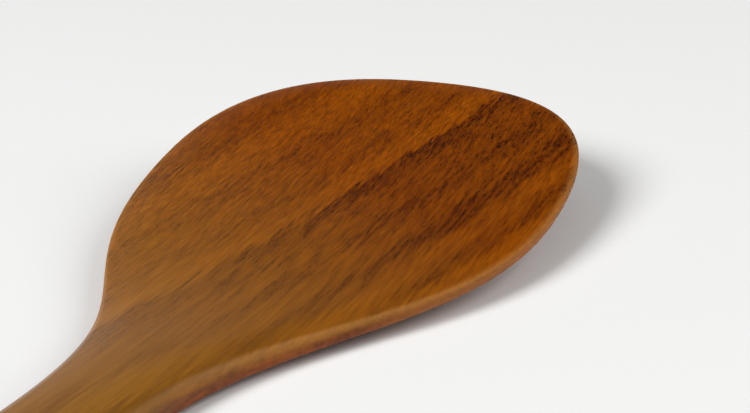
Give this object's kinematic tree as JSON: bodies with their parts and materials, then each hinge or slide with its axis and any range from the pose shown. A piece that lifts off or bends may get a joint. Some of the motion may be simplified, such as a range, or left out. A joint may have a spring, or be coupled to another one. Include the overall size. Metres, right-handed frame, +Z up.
{
  "type": "wooden spatula",
  "caption": "Carved one-piece teak spatula: an egg-shaped, barely crowned blade that sweeps up to a blunt tip, a slim neck and a flat-backed rounded grip, for turning and serving food.",
  "frame": {"origin": "under the middle of the box around the part, on the plane of the grip's flat back", "axes": "+X from the grip's end to the blade's tip, +Y across the blade, +Z up out of the blade's face"},
  "size_m": [0.32, 0.0764, 0.0151],
  "materials": {
    "teak": "oiled satin teak with open pores and dark growth bands"
  },
  "bodies": {
    "root": {"spatula_body": "teak"}
  },
  "joints": []
}
